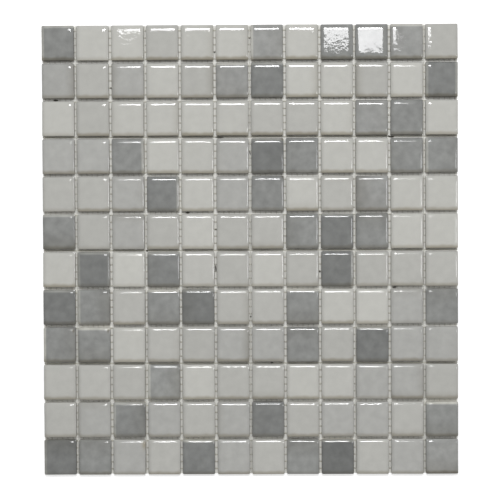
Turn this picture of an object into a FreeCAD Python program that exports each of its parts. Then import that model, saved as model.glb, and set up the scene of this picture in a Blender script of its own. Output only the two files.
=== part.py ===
"""Mosaic tile sheet: glazed ceramic tiles in straight rows and columns, bonded to a woven glass fibre net.

X runs across the sheet, Y up the sheet and Z out of the glazed face. The origin is the middle of the
underside, so the sheet lies on its net with the glaze upwards.
"""
import FreeCAD, Part
import math
import os

# Tiles, in millimetres
COLUMNS = 12
ROWS = 12
TILE_WIDTH = 23.4
TILE_LENGTH = 25.5
TILE_THICKNESS = 5.0
PLAN_CORNER_RADIUS = 1.0
CUSHION_WIDTH = 3.3  # how far the rounded edge of the glazed face reaches in from the wall
CUSHION_DROP = 1.6  # how far it falls from the face to the wall
NOSE_RADIUS = 1.0  # its tighter arc, next to the wall
BACK_ARRIS = 0.4  # the small bevel all round the unglazed back

# Open joints between the tiles
COLUMN_JOINT = 1.9
ROW_JOINT = 1.9

# Net: weft yarns run across the sheet underneath, warp yarns run up the sheet on top of them
WEFT_PITCH = 5.155
WEFT_WIDTH = 0.9
WEFT_THICKNESS = 0.25
WARP_PITCH = 3.83
WARP_WIDTH = 0.7
WARP_THICKNESS = 0.25

# How the glazes are laid: for each row, counted from the top edge, the columns from the left edge.
# A place that none of these glazes names has a tile of BASE_GLAZE.
BASE_GLAZE = "light_grey"
GLAZE_PLACES = {
    "pale_grey": {
        1: (2, 3, 5, 6, 8),
        2: (4, 8, 9, 11),
        3: (1, 3, 4, 5, 6, 9, 12),
        4: (4, 5, 9, 10),
        5: (5, 8, 11, 12),
        6: (5, 11, 12),
        7: (1, 3, 7),
        8: (9, 10),
        9: (3,),
        10: (5, 8),
    },
    "mid_grey": {
        2: (1, 3),
        4: (1, 2, 6),
        5: (3, 6),
        6: (3,),
        8: (11,),
        9: (6, 7, 11, 12),
        10: (10, 11),
        11: (2, 4, 6, 9, 10),
        12: (3, 6, 11),
    },
    "smoke_grey": {
        1: (7, 11),
        2: (6,),
        3: (10,),
        5: (10,),
        12: (12,),
    },
    "dark_grey": {
        1: (1, 9, 10),
        3: (11,),
        4: (3, 8, 11, 12),
        5: (7,),
        6: (1, 8, 10),
        8: (2, 4, 8, 12),
        9: (1, 2, 8),
        10: (4,),
        11: (12,),
        12: (2, 8),
    },
    "slate_grey": {
        2: (7, 12),
        4: (7,),
        5: (4,),
        6: (9,),
        7: (2, 4, 9),
        8: (1, 5),
        9: (10,),
        11: (3, 7),
        12: (1, 5, 9),
    },
}

# Sizes that follow
COLUMN_PITCH = TILE_WIDTH + COLUMN_JOINT
ROW_PITCH = TILE_LENGTH + ROW_JOINT
SHEET_WIDTH = COLUMNS * TILE_WIDTH + (COLUMNS - 1) * COLUMN_JOINT
SHEET_LENGTH = ROWS * TILE_LENGTH + (ROWS - 1) * ROW_JOINT
WARP_UNDERSIDE = WEFT_THICKNESS
TILE_UNDERSIDE = WARP_UNDERSIDE + WARP_THICKNESS
# The wide arc of the rounded edge touches the face at one end and the nose arc at the other.
CROWN_RADIUS = (CUSHION_WIDTH**2 - 2 * CUSHION_WIDTH * NOSE_RADIUS + CUSHION_DROP**2) / (
    2 * (CUSHION_DROP - NOSE_RADIUS)
)
CROWN_TURN = math.atan2(CUSHION_WIDTH - NOSE_RADIUS, CROWN_RADIUS - CUSHION_DROP)
QUARTER_TURN = math.pi / 2  # how far the nose arc has turned from level where it reaches the wall
OVERRUN = 1.0  # how far a tool shape runs past the tile that it trims
PARALLEL = 1e-6  # the largest cross product of two directions that count as parallel
ORIGIN = FreeCAD.Vector(0, 0, 0)
SIDEWAYS = FreeCAD.Vector(1, 0, 0)
UPWARDS = FreeCAD.Vector(0, 0, 1)


def centred_places(count, pitch):
    """Middles of count like things in a row at one pitch, centred on zero, the lowest first."""
    return [(index - (count - 1) / 2) * pitch for index in range(count)]


def yarns_that_fit(span, pitch, yarn_width):
    """How many yarns at this pitch lie wholly inside the span, with one of them in its middle."""
    return 2 * int((span - yarn_width) / 2 // pitch) + 1


def round_from_top(centre, radius, turn):
    """The point of a circle in the XZ plane that lies this turn away from its top, towards +X."""
    return centre + FreeCAD.Vector(radius * math.sin(turn), 0, radius * math.cos(turn))


def half_section(half_width):
    """The +X half of a tile's upright section, from mid back round to mid face."""
    nose_centre = FreeCAD.Vector(half_width - NOSE_RADIUS, 0, TILE_THICKNESS - CUSHION_DROP)
    crown_centre = FreeCAD.Vector(half_width - CUSHION_WIDTH, 0, TILE_THICKNESS - CROWN_RADIUS)
    back_end = FreeCAD.Vector(half_width - BACK_ARRIS, 0, 0)
    wall_foot = FreeCAD.Vector(half_width, 0, BACK_ARRIS)
    wall_top = round_from_top(nose_centre, NOSE_RADIUS, QUARTER_TURN)
    nose_middle = round_from_top(nose_centre, NOSE_RADIUS, (QUARTER_TURN + CROWN_TURN) / 2)
    nose_end = round_from_top(nose_centre, NOSE_RADIUS, CROWN_TURN)
    crown_middle = round_from_top(crown_centre, CROWN_RADIUS, CROWN_TURN / 2)
    face_end = round_from_top(crown_centre, CROWN_RADIUS, 0)
    face_middle = FreeCAD.Vector(0, 0, TILE_THICKNESS)
    return [
        Part.makeLine(ORIGIN, back_end),
        Part.makeLine(back_end, wall_foot),
        Part.makeLine(wall_foot, wall_top),
        Part.Arc(wall_top, nose_middle, nose_end).toShape(),
        Part.Arc(nose_end, crown_middle, face_end).toShape(),
        Part.makeLine(face_end, face_middle),
    ]


def section_bar(width, length):
    """A bar along Y with a tile's section at this width, a little longer than the tile."""
    right = half_section(width / 2)
    left = [edge.mirror(ORIGIN, SIDEWAYS) for edge in right]
    section = Part.Face(Part.Wire(Part.__sortEdges__(right + left)))
    section.translate(FreeCAD.Vector(0, -length / 2 - OVERRUN, 0))
    return section.extrude(FreeCAD.Vector(0, length + 2 * OVERRUN, 0))


def plan_block():
    """An upright block with a tile's outline as seen from above, a little taller than the tile."""
    corner = FreeCAD.Vector(-TILE_WIDTH / 2, -TILE_LENGTH / 2, -OVERRUN)
    block = Part.makeBox(TILE_WIDTH, TILE_LENGTH, TILE_THICKNESS + 2 * OVERRUN, corner)
    upright = [
        edge for edge in block.Edges if edge.tangentAt(edge.FirstParameter).cross(UPWARDS).Length < PARALLEL
    ]
    return block.makeFillet(PLAN_CORNER_RADIUS, upright)


def make_tile():
    """One pressed tile, centred over the origin with its back on z = 0."""
    along = section_bar(TILE_WIDTH, TILE_LENGTH)
    across = section_bar(TILE_LENGTH, TILE_WIDTH)
    across.rotate(ORIGIN, UPWARDS, math.degrees(QUARTER_TURN))
    tile = plan_block().common(along).common(across)
    return tile.removeSplitter().Solids[0]


def glaze_at(row, column):
    """The glaze of the tile in this row and column, both counted from 1 at the top left."""
    for glaze, rows in GLAZE_PLACES.items():
        if column in rows.get(row, ()):
            return glaze
    return BASE_GLAZE


def lay_tiles():
    """The tiles of each glaze, in their places on the net."""
    tile = make_tile()
    laid = {glaze: [] for glaze in (BASE_GLAZE, *GLAZE_PLACES)}
    across = centred_places(COLUMNS, COLUMN_PITCH)
    upwards = centred_places(ROWS, ROW_PITCH)
    for row, y in enumerate(reversed(upwards), start=1):
        for column, x in enumerate(across, start=1):
            place = FreeCAD.Vector(x, y, TILE_UNDERSIDE)
            laid[glaze_at(row, column)].append(tile.translated(place))
    return laid


def make_weft():
    """The yarns across the sheet, which lie lowest."""
    count = yarns_that_fit(SHEET_LENGTH, WEFT_PITCH, WEFT_WIDTH)
    corners = [
        FreeCAD.Vector(-SHEET_WIDTH / 2, y - WEFT_WIDTH / 2, 0) for y in centred_places(count, WEFT_PITCH)
    ]
    return [Part.makeBox(SHEET_WIDTH, WEFT_WIDTH, WEFT_THICKNESS, corner) for corner in corners]


def make_warp():
    """The yarns up the sheet, which lie on the weft and carry the tiles."""
    count = yarns_that_fit(SHEET_WIDTH, WARP_PITCH, WARP_WIDTH)
    corners = [
        FreeCAD.Vector(x - WARP_WIDTH / 2, -SHEET_LENGTH / 2, WARP_UNDERSIDE)
        for x in centred_places(count, WARP_PITCH)
    ]
    return [Part.makeBox(WARP_WIDTH, SHEET_LENGTH, WARP_THICKNESS, corner) for corner in corners]


def save(node, solids):
    """One file for one node, with its solids side by side."""
    Part.makeCompound(solids).exportStep(os.path.join("parts", node + ".step"))


os.makedirs("parts", exist_ok=True)
for glaze, tiles in lay_tiles().items():
    save("tiles_" + glaze, tiles)
save("net_weft", make_weft())
save("net_warp", make_warp())
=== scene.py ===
"""The looks of a mosaic tile sheet: glossy glazed tiles on a woven net, flat on a pale floor.

Lengths are metres. Rows count from the top edge of the sheet and columns from its left edge, both from 0.
"""

import math

import bpy
import numpy as np
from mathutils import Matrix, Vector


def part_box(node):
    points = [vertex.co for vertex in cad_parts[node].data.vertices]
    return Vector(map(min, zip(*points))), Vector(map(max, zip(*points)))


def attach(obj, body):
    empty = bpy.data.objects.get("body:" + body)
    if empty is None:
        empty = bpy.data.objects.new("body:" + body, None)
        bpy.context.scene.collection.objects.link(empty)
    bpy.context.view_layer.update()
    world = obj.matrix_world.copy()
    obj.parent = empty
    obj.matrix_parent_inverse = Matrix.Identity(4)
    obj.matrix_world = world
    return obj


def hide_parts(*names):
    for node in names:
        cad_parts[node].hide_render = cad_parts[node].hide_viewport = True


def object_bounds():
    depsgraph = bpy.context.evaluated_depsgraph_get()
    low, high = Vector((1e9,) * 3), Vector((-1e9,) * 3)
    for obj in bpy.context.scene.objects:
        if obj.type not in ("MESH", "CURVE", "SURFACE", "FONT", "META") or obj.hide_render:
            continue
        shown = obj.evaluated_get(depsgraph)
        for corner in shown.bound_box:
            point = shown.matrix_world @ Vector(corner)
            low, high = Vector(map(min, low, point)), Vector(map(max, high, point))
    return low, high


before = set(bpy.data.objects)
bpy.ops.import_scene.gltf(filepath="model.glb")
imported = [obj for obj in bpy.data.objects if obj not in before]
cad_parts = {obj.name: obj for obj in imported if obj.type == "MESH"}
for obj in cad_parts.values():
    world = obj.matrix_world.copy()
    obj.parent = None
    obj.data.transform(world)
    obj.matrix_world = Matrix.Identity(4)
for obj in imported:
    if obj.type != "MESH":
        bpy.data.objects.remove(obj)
cad_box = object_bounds()

MM = 0.001
SEED = 20
rng = np.random.default_rng(SEED)

# One tile, with the section of its solid
TILE_UNDERSIDE = 0.5 * MM
TILE_THICKNESS = 5.0 * MM
CUSHION_WIDTH = 3.3 * MM
CUSHION_DROP = 1.6 * MM
NOSE_RADIUS = 1.0 * MM
BACK_ARRIS = 0.4 * MM
WALL_CORNER_RADIUS = 0.9 * MM
FACE_CORNER_RADIUS = 0.4 * MM
CORNER_FALL_INSET = 1.0 * MM  # the fall towards one wall adds to the other's from the face down to here
CORNER_FALL_FADE = 0.65  # share of the way up the rounded edge over which that starts
SHOULDER_TURN = 0.13  # slope in radians at which the rounded edge eases off into the face
SHOULDER_INSET = 5.0 * MM  # where it has become flat
SHOULDER_POWER = 4  # how steadily it flattens on the way

# How finely a tile is meshed
CORNER_STEPS = 3  # from a side to the middle of a corner
SIDE_STEPS = 13  # along the straight stretch of a side, closer together near its ends
WALL_STEPS = 3
NOSE_STEPS = 4
CROWN_STEPS = 6
SHOULDER_STEPS = 5

# How unevenly the tiles are pressed, fired and laid
SHIFT = 0.13 * MM
TURN = math.radians(0.3)
LEAN = math.radians(0.1)
RIPPLE_DEPTH = 0.006 * MM
RIPPLE_LENGTHS = (7.0 * MM, 11.0 * MM, 16.0 * MM)

# Tiles that lean further than the rest, towards the right and towards the upper edge
LEANING = {
    (0, 2): (0.0, math.radians(0.22)),
    (0, 8): (0.0, math.radians(0.95)),
    (0, 9): (0.0, math.radians(1.5)),
    (0, 10): (math.radians(1.1), math.radians(1.3)),
    (0, 11): (0.0, math.radians(0.95)),
}
UNEVEN_GLAZE = {(0, 8): 1.4, (0, 9): 0.8}  # how strong the orange peel is, against one on the other tiles

# Net: each warp is a pair of strands that twist half a turn round every weft yarn
NET_THICKNESS = 0.5 * MM
WEFT_WIDTH = 0.9 * MM
WEFT_THICKNESS = 0.24 * MM
STRAND_WIDTH = 0.34 * MM
STRAND_THICKNESS = 0.12 * MM
STRAND_SPREAD = 0.2 * MM
WEFT_SIDES = 8
STRAND_SIDES = 4

# Glazes: slot, display grey level out of 255, tint, and how cloudy the sprayed colour is
LEVELS = 255
GLAZES = {
    "tiles_pale_grey": ("pale_glaze", 186, (1.005, 1.0, 0.925), 0.035),
    "tiles_light_grey": ("light_glaze", 176, (1.005, 1.0, 0.93), 0.04),
    "tiles_mid_grey": ("mid_glaze", 168, (1.0, 1.0, 0.945), 0.06),
    "tiles_smoke_grey": ("smoke_glaze", 152, (0.99, 1.0, 0.955), 0.12),
    "tiles_dark_grey": ("dark_glaze", 140, (0.98, 1.0, 0.955), 0.14),
    "tiles_slate_grey": ("slate_glaze", 122, (0.975, 1.0, 0.96), 0.14),
}
DARK_LEVEL = 160  # glazes below this level are sprayed thickly
LEVEL_SPREAD = 1.5
ODD_LEVELS = {  # by how many grey levels a tile is lighter or darker than the rest of its glaze
    (1, 6): 8,
    (1, 11): 9,
    (4, 3): 9,
    (4, 6): -6,
    (6, 2): 7,
    (6, 3): 8,
    (6, 4): 7,
    (9, 3): 11,
    (9, 8): 9,
    (10, 2): 12,
    (11, 8): -13,
}
LEVEL_RISE = 0.7  # levels from one row to the next below, against the light that falls off down the sheet
MIDDLE_ROW = 6
LAST_ROW = 11
MIRRORED_WHITE = 0.04  # what a glaze reflects of the white surroundings

# How the sprayed colour and the painted light and shade of the rims lie, for each (row, column) where it
# shows. A capital names the edge, by compass letter, towards which the glaze turns darker, and n, e or w an
# edge whose rim is paler, partly the glaze and partly painted light, both with a strength. The number after
# s picks the painted shade of the lower rim from MARKED_RIM_SHADE.
SPRAY_AND_PAINTED_RIMS = {
    (0, 0): "S1 n2 w2 s3",
    (0, 1): "s0",
    (0, 3): "s3",
    (0, 4): "E2 s3",
    (0, 5): "E1 s3",
    (0, 6): "E1 w2",
    (0, 7): "E1 s3",
    (0, 8): "s3",
    (0, 9): "E1 s3",
    (0, 10): "W1 n2 s3",
    (1, 0): "E3",
    (1, 2): "W3 S1",
    (1, 3): "S1",
    (1, 4): "E3",
    (1, 5): "W1 S2 n2",
    (1, 6): "n2",
    (1, 7): "E3",
    (1, 9): "W3",
    (1, 11): "S1 w2 e2 s3",
    (2, 0): "s0",
    (2, 2): "W1",
    (2, 3): "E2",
    (2, 4): "s3",
    (2, 5): "s3",
    (2, 6): "s3",
    (2, 7): "s3",
    (2, 8): "E1",
    (2, 9): "N1 E1 s3",
    (3, 2): "e2",
    (3, 5): "N1 W1",
    (3, 6): "n2",
    (3, 7): "W1",
    (3, 10): "W1",
    (3, 11): "E1 w2",
    (4, 0): "s0",
    (4, 2): "E1 S1",
    (4, 3): "S1 e2",
    (4, 7): "S3",
    (4, 8): "N1",
    (4, 9): "W4 S2",
    (4, 11): "S1",
    (5, 0): "S4 n2",
    (5, 1): "s0",
    (5, 2): "N3 s0",
    (5, 6): "S3",
    (5, 7): "W2",
    (5, 8): "n2",
    (5, 9): "N3",
    (6, 1): "w2 n2 e1",
    (6, 2): "s0",
    (6, 3): "W1 n2",
    (6, 8): "e2",
    (7, 0): "n2",
    (7, 1): "E3 w2",
    (7, 3): "S2 n3",
    (7, 4): "W2 n2",
    (7, 5): "E2 S1",
    (7, 7): "S3 n3",
    (7, 10): "N2 s0",
    (7, 11): "N2 s0",
    (8, 0): "E2 S1 w3",
    (8, 1): "S3 n3",
    (8, 3): "E1",
    (8, 5): "E4",
    (8, 7): "N2 s0",
    (8, 9): "n3",
    (9, 0): "S1",
    (9, 3): "E3 S1 w2",
    (9, 6): "S3",
    (9, 10): "S3 E2",
    (9, 11): "S3",
    (10, 1): "W1 N2",
    (10, 2): "E3 S1 w2 n2",
    (10, 5): "W2 S1",
    (10, 6): "W1",
    (10, 10): "S3",
    (10, 11): "S3 n3",
    (11, 0): "N3 w2 s0",
    (11, 1): "N2",
    (11, 4): "n3",
    (11, 7): "N3 s0",
    (11, 8): "n3",
    (11, 11): "S4 s3",
}
DARKER = 0.07  # what each degree of darkening takes at the edge
DARKER_REACH = {False: 7.0 * MM, True: 14.0 * MM}  # thinly and thickly sprayed tiles
DARKER_POWER = 1.3  # how fast it fades away from the edge
# Paler rims, partly the glaze's own paler edge and partly painted light, mostly on upper rims that face the
# lamp
PALER = 0.3
PALER_RIM = (1.3 * MM, 2.4 * MM)  # where a paler rim starts to fade and where it ends
# Painted shade on each tile's lower rim, which faces away from the lamp past the upper edge
LOWER_RIM = (1.0 * MM, 3.4 * MM)
LOWER_RIM_SHADE = (0.2, 0.37)  # the least and the most on an unmarked tile
MARKED_RIM_SHADE = {0: 0.1, 3: 0.44}
LOWER_RIM_WAVE = 0.2 * MM
LOWER_RIM_RADIANS = (1.1 * MM, 2.7 * MM)  # how far along the rim each of its two waves turns by a radian
# Painted shade on the walls in the joints between rows; where an upper wall's shade is below zero it is
# painted light
WALL_RIM = (0.1 * MM, 0.8 * MM)
UPPER_WALL_SHADE = (0.6, -0.22)  # from the top of the sheet to the bottom row; the top row itself has none
LOWER_WALL_SHADE = (0.42, 0.05)  # in the top row and in the bottom row
# Painted shade along the left and right rims of every tile
SIDE_RIM = (0.8 * MM, 2.8 * MM)
SIDE_RIM_SHADE = {"W": 0.09, "E": 0.045}
WARMTH = (0.06, 0.0, -0.12)  # by what share red, green and blue change where the warmth is one
WALL_WARMTH = 0.4  # of a lower wall darkened by painted shade, against a lower rim with as much painted shade
PALER_WARMTH = 0.2  # of a paler rim, likewise
DARKER_WARMTH = 0.5  # of a darker edge, likewise
STAIN_WARMTH = 1.5  # in the middle of a stain, where the darkest unmarked lower rim has one

# Marks on the glaze: (row, column), place from the tile's middle, reach across and up, what it takes
STAINS = {
    (11, 2): (11.0 * MM, 9.0 * MM, 1.8 * MM, 2.8 * MM, 0.22),
    (3, 6): (11.0 * MM, 12.0 * MM, 0.9 * MM, 0.9 * MM, 0.5),
    (4, 6): (11.0 * MM, 12.0 * MM, 0.9 * MM, 0.9 * MM, 0.5),
    (8, 0): (10.3 * MM, 10.4 * MM, 0.8 * MM, 1.1 * MM, 0.45),
    (8, 1): (10.3 * MM, 10.4 * MM, 0.8 * MM, 1.1 * MM, 0.45),
}
CLOUD_NOISE = {"Scale": 160.0, "Detail": 3.0}
GRAIN_NOISE = {"Scale": 1500.0, "Detail": 1.0}
GRAIN = 0.02
NOISE_SPAN = {"From Min": 0.3, "From Max": 0.7}  # the part of a noise's range that is spread out
MIX_COLOURS = (6, 7)  # the two colour inputs of a mix node, whose names aren't unique
MIX_RESULT = 2  # its colour output
PEEL_NOISE = {"Scale": 380.0, "Detail": 2.0}
PEEL_DEPTH = 0.024 * MM
GLAZE_ROUGHNESS = 0.03
GLAZE_IOR = 1.5
BODY_ROUGHNESS = 0.8
BARE_HEIGHT = 1.3 * MM  # the glaze stops this far above the back
BARE_FADE = 0.5 * MM

# Yarns of glass fibre: fine fibres drawn out along the yarn, in wider patches
ACROSS_FIBRES = 6000.0
ALONG_FIBRES = 300.0
FIBRE_NOISE = {"Scale": 1.0, "Detail": 2.0}
PATCH_NOISE = {"Scale": 60.0, "Detail": 2.0}
YARN_SHADE = {"From Min": 0.7, "From Max": 1.3, "To Min": 0.85, "To Max": 1.15}
FIBRE_BUMP = {"Strength": 0.6, "Distance": 0.05 * MM}
YARN_ROUGHNESS = 0.6

# Camera, fitted to the sheet's corners and joints in the photograph
CAMERA_PLACE = (0.00774, 0.02002, 1.0)
CAMERA_TURN = (math.radians(-1.146), math.radians(0.452), math.radians(-0.237))
LENS = 98.7
SENSOR = 36.0

# Level lamps beyond the upper edge, by x span, y span and watts: a box light with its near rim and left end.
# Narrow tips past both ends let a tile's reflected line fade out in pieces. A weak lamp stands far to the
# right.
LAMP_HEIGHT = 1.2
LEVEL_LAMPS = {
    "key": ((-0.204, 0.230), (0.43, 0.56), 7.9),
    "key_rim": ((-0.204, 0.230), (0.35, 0.43), 1.58),
    "key_end": ((-0.222, -0.204), (0.338, 0.43), 0.068),
}
TIPS = (-0.2235, -0.2170, -0.2105, 0.2370, 0.2450, 0.2530, 0.2610)
TIP_WIDTH = 0.003
TIP_SPAN = (0.35, 0.56)
TIP_WATTS = 0.045
LAMP_COLOUR = (0.985, 0.985, 1.0)
SIDE_PLACE = (1.3, 0.03)
SIDE_SIZE = (0.25, 0.3)
SIDE_WATTS = 2.0
AMBIENT = 0.523

FLOOR_SIZE = 6.0
FLOOR_ALBEDO = 0.8
FLOOR_GLOW = 0.4
# The floor under the sheet, seen only in the joints, is a little duller than the open floor: a painted shade
UNDER_SHEET = (0.77, 0.765, 0.725)
WEFT = (0.5, 0.49, 0.42)
WARP = (0.62, 0.615, 0.565)
BODY = (0.66, 0.64, 0.59)

# Grit in the joints: place, length along x, length along y and turn of each lump, in mm and degrees
GRIT = (
    (103.0, 82.2, 4.6, 1.3, 0.0),
    (101.1, 82.6, 1.2, 1.1, 20.0),
    (-75.3, -0.2, 1.8, 1.2, -15.0),
    (-25.25, -13.3, 0.9, 5.2, 3.0),
    (0.05, 70.9, 0.7, 3.4, 14.0),
    (-45.5, 27.4, 3.4, 1.2, 0.0),
    (50.65, -15.8, 1.1, 1.8, 10.0),
    (105.0, -27.4, 3.4, 1.2, 3.0),
    (15.5, -82.3, 2.0, 1.2, 0.0),
    (-141.2, 109.6, 4.2, 1.1, 0.0),
    (-22.1, 82.2, 6.6, 0.8, 0.0),
    (-101.0, 118.4, 1.1, 1.2, 0.0),
    (0.1, 154.2, 1.2, 0.9, 0.0),
    (-25.4, 144.1, 1.1, 1.0, 0.0),
    (-25.1, 15.1, 1.1, 1.1, 0.0),
    (0.1, -48.5, 1.2, 1.1, 0.0),
)
GRIT_HEIGHT = 0.9 * MM
GRIT_COLOUR = (0.035, 0.03, 0.022)
GRIT_SIDES = 10
GRIT_RINGS = 5
GRIT_UNEVENNESS = (0.8, 1.0)  # how far each corner of a lump reaches, against its full size
GRIT_ROUGHNESS = 0.75


def linear(level):
    """The linear value of a display level from 0 to 1, by the sRGB curve."""
    return ((level + 0.055) / 1.055) ** 2.4


def merged(spans):
    """Overlapping (low, high) spans joined into separate ones, the lowest first."""
    joined = []
    for low, high in sorted(spans):
        if joined and low <= joined[-1][1]:
            joined[-1][1] = max(joined[-1][1], high)
        else:
            joined.append([low, high])
    return joined


def nearest(spans, values):
    """For each value, the number of the span whose middle lies nearest."""
    middles = np.array(spans).mean(axis=1)
    return np.abs(values[:, None] - middles[None]).argmin(axis=1).tolist()


def triangle_corners(node):
    """The corners of a node's triangles as an array of (triangle, corner, axis)."""
    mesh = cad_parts[node].data
    mesh.calc_loop_triangles()
    points = np.zeros(len(mesh.vertices) * 3)
    mesh.vertices.foreach_get("co", points)
    indices = np.zeros(len(mesh.loop_triangles) * 3, dtype=np.int32)
    mesh.loop_triangles.foreach_get("vertices", indices)
    return points.reshape(-1, 3)[indices].reshape(-1, 3, 3)


def find_tiles():
    """Where the tiles of each node lie: {node: [(row, column, y span, x span), ...]}."""
    triangles = {node: triangle_corners(node) for node in GLAZES}
    everything = np.concatenate(list(triangles.values()))
    lows, highs = everything.min(axis=1), everything.max(axis=1)
    columns = merged(zip(lows[:, 0], highs[:, 0]))
    rows = merged(zip(lows[:, 1], highs[:, 1]))[::-1]
    tiles = {}
    for node, corners in triangles.items():
        middles = corners.mean(axis=1)
        cells = set(zip(nearest(rows, middles[:, 1]), nearest(columns, middles[:, 0])))
        tiles[node] = [(row, column, rows[row], columns[column]) for row, column in sorted(cells)]
    return tiles


def section_rings():
    """The tile's upright section from the back to the flat of the face: (inset, height) pairs."""
    crown_radius = (CUSHION_WIDTH**2 - 2 * CUSHION_WIDTH * NOSE_RADIUS + CUSHION_DROP**2) / (
        2 * (CUSHION_DROP - NOSE_RADIUS)
    )
    crown_turn = math.atan2(CUSHION_WIDTH - NOSE_RADIUS, crown_radius - CUSHION_DROP)
    wall_top = TILE_THICKNESS - CUSHION_DROP
    rings = [(BACK_ARRIS, 0.0)]
    for k in range(WALL_STEPS):
        rings.append((0.0, BACK_ARRIS + (wall_top - BACK_ARRIS) * k / WALL_STEPS))
    for k in range(NOSE_STEPS):
        turn = math.pi / 2 + (crown_turn - math.pi / 2) * k / NOSE_STEPS
        rings.append((NOSE_RADIUS * (1 - math.sin(turn)), wall_top + NOSE_RADIUS * math.cos(turn)))
    eased_inset = CUSHION_WIDTH - crown_radius * math.sin(SHOULDER_TURN)
    eased_fall = math.tan(SHOULDER_TURN) * (SHOULDER_INSET - eased_inset) / SHOULDER_POWER
    lowered = eased_fall - crown_radius * (1 - math.cos(SHOULDER_TURN))
    for k in range(CROWN_STEPS):
        turn = crown_turn + (SHOULDER_TURN - crown_turn) * k / CROWN_STEPS
        fall = crown_radius * (1 - math.cos(turn)) + lowered
        rings.append((CUSHION_WIDTH - crown_radius * math.sin(turn), TILE_THICKNESS - fall))
    for k in range(SHOULDER_STEPS + 1):
        share = k / SHOULDER_STEPS
        inset = eased_inset + (SHOULDER_INSET - eased_inset) * share
        rings.append((inset, TILE_THICKNESS - eased_fall * (1 - share) ** SHOULDER_POWER))
    return rings


def side_stations(across, up, radius):
    """Points along the lower side of a round-cornered rectangle, from mid corner to short of mid corner."""
    stations = []
    for k in range(CORNER_STEPS):
        angle = math.pi / 4 * (1 + k / CORNER_STEPS)
        stations.append((-across + radius * (1 - math.cos(angle)), -up + radius * (1 - math.sin(angle))))
    for k in range(SIDE_STEPS + 1):
        stations.append(((across - radius) * math.sin(math.pi / 2 * (2 * k / SIDE_STEPS - 1)), -up))
    for k in range(1, CORNER_STEPS):
        angle = math.pi / 4 * (2 - k / CORNER_STEPS)
        stations.append((across - radius * (1 - math.cos(angle)), -up + radius * (1 - math.sin(angle))))
    return np.array(stations)


def rounded_outline(half_width, half_length, radius):
    """Points counter-clockwise round a round-cornered rectangle, from its lower left corner."""
    level = side_stations(half_width, half_length, radius)
    upright = side_stations(half_length, half_width, radius)
    turned = np.column_stack([-upright[:, 1], upright[:, 0]])
    return np.concatenate([level, turned, -level, -turned])


def inner_grid(outline):
    """A grid that fills a ring and has it as its border, as (row, column, axis)."""
    steps = len(outline) // 4
    sides = [np.take(outline, range(s * steps, (s + 1) * steps + 1), axis=0, mode="wrap") for s in range(4)]
    low, right, high, left = sides[0], sides[1], sides[2][::-1], sides[3][::-1]
    u = ((low[:, 0] - low[0, 0]) / (low[-1, 0] - low[0, 0]))[None, :, None]
    v = ((left[:, 1] - left[0, 1]) / (left[-1, 1] - left[0, 1]))[:, None, None]
    along = (1 - v) * low[None] + v * high[None]
    across = (1 - u) * left[:, None] + u * right[:, None]
    corners = (1 - u) * (1 - v) * low[0] + u * (1 - v) * low[-1] + (1 - u) * v * high[0] + u * v * high[-1]
    return along + across - corners


def tile_faces(ring_count, steps):
    """Faces of one tile, whose rings come first and then the inside of its face, row by row."""
    around = 4 * steps
    faces = [tuple(reversed(range(around)))]
    for ring in range(ring_count - 1):
        for k in range(around):
            a, b = ring * around + k, ring * around + (k + 1) % around
            faces.append((a, b, b + around, a + around))
    border = np.arange((ring_count - 1) * around, ring_count * around)
    index = np.zeros((steps + 1, steps + 1), dtype=int)
    index[1:-1, 1:-1] = ring_count * around + np.arange((steps - 1) ** 2).reshape(steps - 1, steps - 1)
    index[0] = border[: steps + 1]
    index[:, -1] = border[steps : 2 * steps + 1]
    index[-1] = border[2 * steps : 3 * steps + 1][::-1]
    index[1:, 0] = border[3 * steps :][::-1]
    for row in range(steps):
        for column in range(steps):
            low, high = index[row, column : column + 2], index[row + 1, column : column + 2]
            faces.append((int(low[0]), int(low[1]), int(high[1]), int(high[0])))
    return faces


RINGS = section_rings()
FIRST_NOSE_RING = 1 + WALL_STEPS
STEPS = 2 * CORNER_STEPS + SIDE_STEPS
AROUND = 4 * STEPS
FACES = tile_faces(len(RINGS), STEPS)
FLAT_FACES = 1 + AROUND  # the back and its arris


def even_tile(half_width, half_length):
    """Points of one even tile centred over the origin with its back on z = 0."""
    points = []
    insets, heights = np.array(RINGS[FIRST_NOSE_RING:]).T
    for inset, height in RINGS:
        radius = max(WALL_CORNER_RADIUS - inset, FACE_CORNER_RADIUS)
        outline = rounded_outline(half_width - inset, half_length - inset, radius)
        gaps = np.array([half_width, half_length]) - np.abs(outline)
        fall = TILE_THICKNESS - np.interp(np.maximum(gaps.max(axis=1), CORNER_FALL_INSET), insets, heights)
        share = np.clip((1 - (TILE_THICKNESS - height) / CUSHION_DROP) / CORNER_FALL_FADE, 0, 1)
        points.append(np.column_stack([outline, height - share * fall]))
    inside = inner_grid(points[-1][:, :2])[1:-1, 1:-1].reshape(-1, 2)
    points.append(np.column_stack([inside, np.full(len(inside), TILE_THICKNESS)]))
    return np.concatenate(points)


def sag_of_face(x, y, row, column, half_width, half_length):
    """How far a tile's lean and ripple lower its face at each point, never above zero."""
    sag = np.zeros(len(x))
    for length in RIPPLE_LENGTHS:
        heading, phase = rng.uniform(0, 2 * math.pi, 2)
        along = x * math.cos(heading) + y * math.sin(heading)
        sag += RIPPLE_DEPTH * (np.sin(2 * math.pi * along / length + phase) - 1)
    lean_x, lean_y = rng.normal(0, LEAN, 2) + LEANING.get((row, column), (0.0, 0.0))
    sag -= math.tan(lean_x) * x + math.tan(lean_y) * y
    return sag - abs(math.tan(lean_x)) * half_width - abs(math.tan(lean_y)) * half_length


def fading(gap, limits):
    """One near an edge, falling smoothly to nothing between two distances from it."""
    share = np.clip((gap - limits[0]) / (limits[1] - limits[0]), 0, 1)
    return 1 - share * share * (3 - 2 * share)


def down_the_sheet(shades, row):
    """A shade between that at the top of the sheet and that in the bottom row."""
    down = row / LAST_ROW
    return shades[0] * (1 - down) + shades[1] * down


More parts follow.
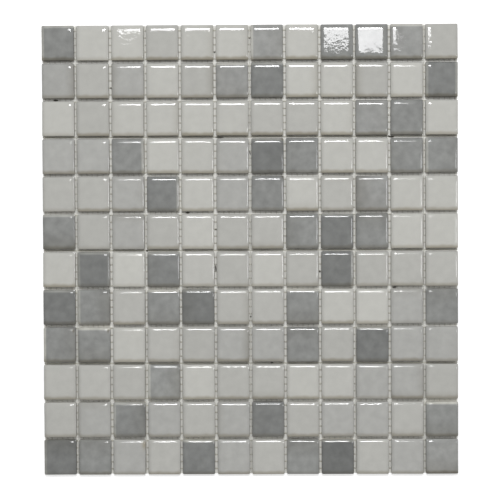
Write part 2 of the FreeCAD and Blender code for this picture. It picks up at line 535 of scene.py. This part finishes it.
def painted_shade_and_spray_of_tile(x, y, row, column, half_width, half_length, dark):
    """How bright and how warm each point of a tile is: the painted shade and light of its rims and walls,
    its sprayed colour and its stains.
    """
    marks = {mark[0]: int(mark[1]) for mark in SPRAY_AND_PAINTED_RIMS.get((row, column), "").split()}
    gaps = {"N": half_length - y, "S": half_length + y, "E": half_width - x, "W": half_width + x}
    phases = rng.uniform(0, 2 * math.pi, 2)
    # Painted shade on the lower rim, along a wavy edge
    waves = [np.sin(x / length + phase) for length, phase in zip(LOWER_RIM_RADIANS, phases)]
    wave = LOWER_RIM_WAVE * (waves[0] + waves[1])
    lower_shade = rng.uniform(*LOWER_RIM_SHADE)
    lower_shade = MARKED_RIM_SHADE.get(marks.get("s"), lower_shade)
    lower = lower_shade * fading(gaps["S"] + wave, LOWER_RIM)
    # Painted shade on the side rims and on the walls between rows, and painted light where the upper walls'
    # shade is below zero
    side = sum(strength * fading(gaps[edge], SIDE_RIM) for edge, strength in SIDE_RIM_SHADE.items())
    upper_wall_shade = down_the_sheet(UPPER_WALL_SHADE, row) if row > 0 else 0.0
    upper_wall = upper_wall_shade * fading(gaps["N"], WALL_RIM)
    lower_wall = down_the_sheet(LOWER_WALL_SHADE, row) * fading(gaps["S"], WALL_RIM)
    # Paler rims: partly the glaze, partly painted light
    paler = np.zeros(len(x))
    for edge in ("n", "e", "w"):
        strength = PALER * marks.get(edge, 0)
        paler = np.maximum(paler, strength * fading(gaps[edge.upper()], PALER_RIM))
    darker = np.zeros(len(x))
    for edge, gap in gaps.items():
        reach = np.clip(1 - gap / DARKER_REACH[dark], 0, 1)
        darker = np.maximum(darker, DARKER * marks.get(edge, 0) * reach**DARKER_POWER)
    warm = lower + WALL_WARMTH * lower_wall + PALER_WARMTH * paler + DARKER_WARMTH * darker
    warm = warm / LOWER_RIM_SHADE[1]
    shade = (1 - lower) * (1 - side) * (1 - upper_wall) * (1 - lower_wall) * (1 - darker) * (1 + paler)
    if (row, column) in STAINS:
        across, up, wide, tall, taken = STAINS[(row, column)]
        spot = np.exp(-(((x - across) / wide) ** 2) - ((y - up) / tall) ** 2)
        shade = shade * (1 - taken * spot)
        warm = warm + STAIN_WARMTH * spot
    return shade, warm


def lay_tile(row, column, y_span, x_span, dark):
    """The points of one tile in its place, with its painted shade and light, sprayed colour, warmth and
    orange peel at each.
    """
    half_width, half_length = (x_span[1] - x_span[0]) / 2, (y_span[1] - y_span[0]) / 2
    x, y, z = even_tile(half_width, half_length).T
    lift = np.clip(1 - (TILE_THICKNESS - z) / CUSHION_DROP, 0, 1)
    z = z + lift * sag_of_face(x, y, row, column, half_width, half_length)
    shade, warm = painted_shade_and_spray_of_tile(x, y, row, column, half_width, half_length, dark)
    angle = rng.uniform(-TURN, TURN)
    turned_x = x * math.cos(angle) - y * math.sin(angle)
    turned_y = x * math.sin(angle) + y * math.cos(angle)
    plan = np.column_stack([turned_x, turned_y])
    middle = np.array([sum(x_span) / 2, sum(y_span) / 2]) + rng.uniform(-SHIFT, SHIFT, 2)
    lowest = np.array(cad_box[0][:2]) - plan.min(axis=0)
    highest = np.array(cad_box[1][:2]) - plan.max(axis=0)
    plan = plan + np.clip(middle, lowest, highest)
    peel = np.full(len(x), PEEL_DEPTH * UNEVEN_GLAZE.get((row, column), 1.0))
    return np.column_stack([plan, z + TILE_UNDERSIDE]), shade, warm, peel


def add_piece(name, points, faces, smooth, nodes=()):
    """A mesh piece of the sheet, attached to the root body, that stands in for nodes and hides them."""
    mesh = bpy.data.meshes.new(name)
    mesh.from_pydata(points.tolist(), [], faces)
    mesh.polygons.foreach_set("use_smooth", smooth)
    piece = bpy.data.objects.new(name, mesh)
    bpy.context.scene.collection.objects.link(piece)
    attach(piece, "root")
    if nodes:
        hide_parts(*nodes)
    return piece


def add_values(piece, name, values):
    """A number for each point of a piece, for its material to read."""
    piece.data.attributes.new(name, "FLOAT", "POINT").data.foreach_set("value", values)


def make_tiles(node, tiles):
    """All tiles of one glaze as one piece."""
    slot, level, tint, clouding = GLAZES[node]
    laid = [lay_tile(*tile, level < DARK_LEVEL) for tile in tiles]
    count = len(laid[0][0])
    points, shade, warm, peel = (np.concatenate(parts) for parts in zip(*laid))
    faces = [tuple(k + tile * count for k in face) for tile in range(len(laid)) for face in FACES]
    smooth = ([False] * FLAT_FACES + [True] * (len(FACES) - FLAT_FACES)) * len(laid)
    piece = add_piece(node + "_glazed", points, faces, smooth, [node])
    below_middle = np.array([row for row, _, _, _ in tiles]) - MIDDLE_ROW
    odd = np.array([ODD_LEVELS.get((row, column), 0) for row, column, _, _ in tiles])
    spread = rng.normal(0, LEVEL_SPREAD, len(laid))
    levels = (level + odd + LEVEL_RISE * below_middle + spread) / LEVELS
    add_values(piece, "level", np.repeat(linear(levels) - MIRRORED_WHITE, count))
    # Painted shade and light on the rims and walls, with the sprayed colour and the stains
    add_values(piece, "shade", shade)
    add_values(piece, "warm", warm)
    add_values(piece, "peel", peel)
    heights = points[:, 2] - TILE_UNDERSIDE
    add_values(piece, "bare", np.clip((BARE_HEIGHT - heights) / BARE_FADE + 0.5, 0, 1))
    piece.data.materials.append(glaze_material(slot, tint, clouding))


def node_maker(owner):
    """A function that adds a shader node to a material or world, with settings and values for its inputs."""
    tree = owner.node_tree

    def add(kind, inputs=(), **settings):
        node = tree.nodes.new(kind)
        for name, value in settings.items():
            setattr(node, name, value)
        for name, value in dict(inputs).items():
            if isinstance(value, bpy.types.NodeSocket):
                tree.links.new(value, node.inputs[name])
            else:
                node.inputs[name].default_value = value
        return node

    return add


def new_material(name):
    """An empty material, and the function that adds nodes to it."""
    material = bpy.data.materials.new(name)
    material.use_nodes = True
    material.node_tree.nodes.clear()
    return material, node_maker(material)


def spread_about_one(add, noise, amount):
    """A noise turned into factors that lie about one."""
    spread = {"Value": noise.outputs["Fac"], **NOISE_SPAN, "To Min": 1 - amount, "To Max": 1 + amount}
    return add("ShaderNodeMapRange", spread).outputs["Result"]


def glaze_material(name, tint, clouding):
    """Glossy glaze over a pale body that shows low on the walls and on the back."""
    material, add = new_material(name)
    place = add("ShaderNodeTexCoord").outputs["Object"]
    values = {
        value: add("ShaderNodeAttribute", attribute_name=value).outputs["Fac"]
        for value in ("level", "shade", "warm", "peel", "bare")
    }
    blotches = add("ShaderNodeTexNoise", {"Vector": place, **CLOUD_NOISE})
    specks = add("ShaderNodeTexNoise", {"Vector": place, **GRAIN_NOISE})
    glaze = add("ShaderNodeVectorMath", {0: tint, "Scale": values["level"]}, operation="SCALE")
    coats = dict(zip(MIX_COLOURS, (glaze.outputs["Vector"], (*BODY, 1.0))))
    coats["Factor"] = values["bare"]
    colour = add("ShaderNodeMix", coats, data_type="RGBA").outputs[MIX_RESULT]
    # The painted shade and light of the rims and walls, then the glaze's clouds and specks
    for factor in (
        values["shade"],
        spread_about_one(add, blotches, clouding),
        spread_about_one(add, specks, GRAIN),
    ):
        shaded = add("ShaderNodeVectorMath", {0: colour, "Scale": factor}, operation="SCALE")
        colour = shaded.outputs["Vector"]
    excess = add("ShaderNodeVectorMath", {0: WARMTH, "Scale": values["warm"]}, operation="SCALE")
    warmth = add("ShaderNodeVectorMath", {0: excess.outputs["Vector"], 1: (1.0, 1.0, 1.0)}, operation="ADD")
    toned = add("ShaderNodeVectorMath", {0: colour, 1: warmth.outputs["Vector"]}, operation="MULTIPLY")
    finish = {"Value": values["bare"], "To Min": GLAZE_ROUGHNESS, "To Max": BODY_ROUGHNESS}
    peel = add("ShaderNodeTexNoise", {"Vector": place, **PEEL_NOISE})
    bumps = {"Height": peel.outputs["Fac"], "Strength": 1.0, "Distance": values["peel"]}
    relief = add("ShaderNodeBump", bumps)
    shader = add(
        "ShaderNodeBsdfPrincipled",
        {
            "Base Color": toned.outputs["Vector"],
            "Roughness": add("ShaderNodeMapRange", finish).outputs["Result"],
            "Normal": relief.outputs["Normal"],
            "IOR": GLAZE_IOR,
        },
    )
    add("ShaderNodeOutputMaterial", {"Surface": shader.outputs["BSDF"]})
    return material


def yarn_material(name, along, colour):
    """Coated glass fibre, with fine fibres along the yarn."""
    material, add = new_material(name)
    place = add("ShaderNodeTexCoord").outputs["Object"]
    stretch = [ACROSS_FIBRES] * 3
    stretch[along] = ALONG_FIBRES
    drawn = add("ShaderNodeVectorMath", {0: place, 1: stretch}, operation="MULTIPLY")
    fibres = add("ShaderNodeTexNoise", {"Vector": drawn.outputs["Vector"], **FIBRE_NOISE})
    patches = add("ShaderNodeTexNoise", {"Vector": place, **PATCH_NOISE})
    both = add("ShaderNodeMath", {0: fibres.outputs["Fac"], 1: patches.outputs["Fac"]}, operation="ADD")
    strength = add("ShaderNodeMapRange", {"Value": both.outputs[0], **YARN_SHADE})
    shown = add("ShaderNodeVectorMath", {0: colour, "Scale": strength.outputs["Result"]}, operation="SCALE")
    relief = add("ShaderNodeBump", {"Height": fibres.outputs["Fac"], **FIBRE_BUMP})
    shader = add(
        "ShaderNodeBsdfPrincipled",
        {
            "Base Color": shown.outputs["Vector"],
            "Roughness": YARN_ROUGHNESS,
            "Normal": relief.outputs["Normal"],
        },
    )
    add("ShaderNodeOutputMaterial", {"Surface": shader.outputs["BSDF"]})
    return material


def node_spans(node, axis):
    """The spans of a net node's yarns across the way that they run."""
    corners = triangle_corners(node)
    return merged(zip(corners[:, :, axis].min(axis=1), corners[:, :, axis].max(axis=1)))


def ribbon(path, width, thickness, sides, sideways):
    """A yarn of flat oval section along a path, closed at both ends: its points and faces."""
    angles = 2 * math.pi * (np.arange(sides) + 0.5) / sides
    reach = 1 / math.cos(math.pi / sides)
    points = []
    for centre in path:
        for angle in angles:
            offset = np.array([0.0, 0.0, thickness / 2 * math.sin(angle) * reach])
            offset[sideways] = width / 2 * math.cos(angle) * reach
            points.append(centre + offset)
    return points, ribbon_faces(len(path), sides, sideways)


def ribbon_faces(stations, sides, sideways):
    """Faces of a closed tube whose section is made again at each station."""
    faces = [tuple(range(sides)), tuple(reversed(range((stations - 1) * sides, stations * sides)))]
    for station in range(stations - 1):
        for k in range(sides):
            a, b = station * sides + k, station * sides + (k + 1) % sides
            faces.append((a, a + sides, b + sides, b))
    if sideways == 1:
        return faces
    return [tuple(reversed(face)) for face in faces]


def make_yarns(name, nodes, yarns, along, colour):
    """Yarns joined into one piece of the net."""
    points, faces = [], []
    for yarn_points, yarn_faces in yarns:
        start = len(points)
        points.extend(yarn_points)
        faces.extend(tuple(start + k for k in face) for face in yarn_faces)
    smooth = [len(face) == 4 for face in faces]
    piece = add_piece(name, np.array(points), faces, smooth, nodes)
    piece.data.materials.append(yarn_material(name, along, colour))


def make_net():
    """The woven net under the tiles."""
    low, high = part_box("net_weft")
    warp_low, warp_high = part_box("net_warp")
    wefts = [sum(span) / 2 for span in node_spans("net_weft", 1)]
    warps = [sum(span) / 2 for span in node_spans("net_warp", 0)]
    middle = NET_THICKNESS / 2
    weft_stations = np.linspace(low[0], high[0], len(warps) + 1)
    weft_yarns = [
        ribbon([np.array([x, y, middle]) for x in weft_stations], WEFT_WIDTH, WEFT_THICKNESS, WEFT_SIDES, 1)
        for y in wefts
    ]
    make_yarns("net_weft_yarns", ["net_weft"], weft_yarns, 0, WEFT)
    pitch = wefts[1] - wefts[0]
    turns = np.arange(-2, 2 * len(wefts) + 1) / 2  # from a pitch before the first weft to one past the last
    stations = np.clip(wefts[0] + turns * pitch, warp_low[1], warp_high[1])
    rise = middle - STRAND_THICKNESS / 2
    strand_yarns = []
    for x in warps:
        for side in (-1, 1):
            path = [
                np.array(
                    [
                        x + side * STRAND_SPREAD * math.sin(math.pi * turn),
                        y,
                        middle + side * rise * math.cos(math.pi * turn),
                    ]
                )
                for turn, y in zip(turns, stations)
            ]
            strand_yarns.append(ribbon(path, STRAND_WIDTH, STRAND_THICKNESS, STRAND_SIDES, 0))
    make_yarns("net_warp_strands", ["net_warp"], strand_yarns, 1, WARP)


def make_grit():
    """Small dark lumps of dirt that lie on the net in the joints."""
    points, faces = [], []
    around = 2 * math.pi * np.arange(GRIT_SIDES) / GRIT_SIDES
    for x, y, wide, tall, turn in GRIT:
        start = len(points)
        angle = math.radians(turn)
        for ring in range(GRIT_RINGS):
            rise = math.pi / 2 * ring / GRIT_RINGS
            swell = math.cos(rise) * rng.uniform(*GRIT_UNEVENNESS, GRIT_SIDES)
            across, up = swell * np.cos(around) * wide / 2, swell * np.sin(around) * tall / 2
            turned_x = x + across * math.cos(angle) - up * math.sin(angle)
            turned_y = y + across * math.sin(angle) + up * math.cos(angle)
            height = np.full(GRIT_SIDES, NET_THICKNESS + GRIT_HEIGHT * math.sin(rise))
            points.extend(np.column_stack([turned_x * MM, turned_y * MM, height]))
        for face in ribbon_faces(GRIT_RINGS, GRIT_SIDES, 0):
            faces.append(tuple(start + k for k in reversed(face)))
    smooth = [len(face) == 4 for face in faces]
    piece = add_piece("joint_grit", np.array(points), faces, smooth)
    material, add = new_material("grit")
    finish = {"Base Color": (*GRIT_COLOUR, 1.0), "Roughness": GRIT_ROUGHNESS}
    shader = add("ShaderNodeBsdfPrincipled", finish)
    add("ShaderNodeOutputMaterial", {"Surface": shader.outputs["BSDF"]})
    piece.data.materials.append(material)


def ray_that_sees(add):
    """One for rays that see or mirror or look through to what they meet, and nothing for diffuse light."""
    path = add("ShaderNodeLightPath").outputs
    seen = add("ShaderNodeMath", {0: path["Is Camera Ray"], 1: path["Is Glossy Ray"]}, operation="MAXIMUM")
    through = {0: seen.outputs[0], 1: path["Is Transmission Ray"]}
    return add("ShaderNodeMath", through, operation="MAXIMUM").outputs[0]


def floor_material(name, albedo, glow):
    """Matte floor. With a glow it looks white to the camera and still takes a shadow."""
    material, add = new_material(name)
    matte = add("ShaderNodeBsdfDiffuse", {"Color": (*albedo, 1.0)})
    if not glow:
        add("ShaderNodeOutputMaterial", {"Surface": matte.outputs["BSDF"]})
        return material
    strength = add("ShaderNodeMath", {0: ray_that_sees(add), 1: glow}, operation="MULTIPLY")
    shine = add("ShaderNodeEmission", {"Color": (1.0, 1.0, 1.0, 1.0), "Strength": strength.outputs[0]})
    both = add("ShaderNodeAddShader", {0: matte.outputs["BSDF"], 1: shine.outputs["Emission"]})
    add("ShaderNodeOutputMaterial", {"Surface": both.outputs["Shader"]})
    return material


def make_floor():
    """The floor that the sheet lies on, of a duller tone where the sheet covers it."""
    low, high = cad_box
    half = FLOOR_SIZE / 2
    xs, ys = (-half, low[0], high[0], half), (-half, low[1], high[1], half)
    mesh = bpy.data.meshes.new("floor")
    points = [(x, y, 0.0) for y in ys for x in xs]
    corners = [len(xs) * j + i for j in range(len(ys) - 1) for i in range(len(xs) - 1)]
    faces = [(k, k + 1, k + len(xs) + 1, k + len(xs)) for k in corners]
    mesh.from_pydata(points, [], faces)
    mesh.materials.append(floor_material("floor_open", (FLOOR_ALBEDO,) * 3, FLOOR_GLOW))
    mesh.materials.append(floor_material("floor_covered", UNDER_SHEET, 0))
    covered = len(faces) // 2  # the middle one of the nine
    mesh.polygons[covered].material_index = 1
    floor = bpy.data.objects.new("floor", mesh)
    bpy.context.scene.collection.objects.link(floor)


def make_world():
    """Soft white surroundings: full white where they are seen, dimmer where they light the sheet."""
    world = bpy.data.worlds.new("studio")
    bpy.context.scene.world = world
    world.use_nodes = True
    world.node_tree.nodes.clear()
    add = node_maker(world)
    strength = add("ShaderNodeMapRange", {"Value": ray_that_sees(add), "To Min": AMBIENT, "To Max": 1.0})
    white = {"Color": (1.0, 1.0, 1.0, 1.0), "Strength": strength.outputs["Result"]}
    background = add("ShaderNodeBackground", white)
    add("ShaderNodeOutputWorld", {"Surface": background.outputs["Background"]})


def add_lamp(name, place, size, watts, target):
    """A rectangular lamp that faces a point, or straight down where there is none."""
    lamp = bpy.data.lights.new(name, "AREA")
    lamp.shape = "RECTANGLE"
    lamp.size, lamp.size_y = size
    lamp.energy = watts
    lamp.color = LAMP_COLOUR
    holder = bpy.data.objects.new(name, lamp)
    holder.location = place
    if target is not None:
        way = np.array(target) - np.array(place)
        tilt = math.atan2(math.hypot(way[0], way[1]), -way[2])
        holder.rotation_euler = (tilt, 0, math.atan2(-way[0], way[1]))
    bpy.context.scene.collection.objects.link(holder)


def make_lamps():
    """A level box light past the upper edge, with narrow tips at its ends, and a weak lamp to the right."""
    for name, (across, up, watts) in LEVEL_LAMPS.items():
        place = (sum(across) / 2, sum(up) / 2, LAMP_HEIGHT)
        add_lamp(name, place, (across[1] - across[0], up[1] - up[0]), watts, None)
    for number, across in enumerate(TIPS):
        place = (across, sum(TIP_SPAN) / 2, LAMP_HEIGHT)
        add_lamp("tip_" + str(number), place, (TIP_WIDTH, TIP_SPAN[1] - TIP_SPAN[0]), TIP_WATTS, None)
    add_lamp("side", (*SIDE_PLACE, LAMP_HEIGHT), SIDE_SIZE, SIDE_WATTS, (0, 0, 0))


def make_camera():
    """The photograph's viewpoint, almost straight above the sheet."""
    lens = bpy.data.cameras.new("camera")
    lens.lens = LENS
    lens.sensor_width = SENSOR
    camera = bpy.data.objects.new("camera", lens)
    camera.location = CAMERA_PLACE
    camera.rotation_euler = CAMERA_TURN
    bpy.context.scene.collection.objects.link(camera)
    bpy.context.scene.camera = camera
    bpy.context.scene.view_settings.view_transform = "Standard"


for glazed_node, laid_tiles in find_tiles().items():
    make_tiles(glazed_node, laid_tiles)
make_net()
make_grit()
make_floor()
make_world()
make_lamps()
make_camera()
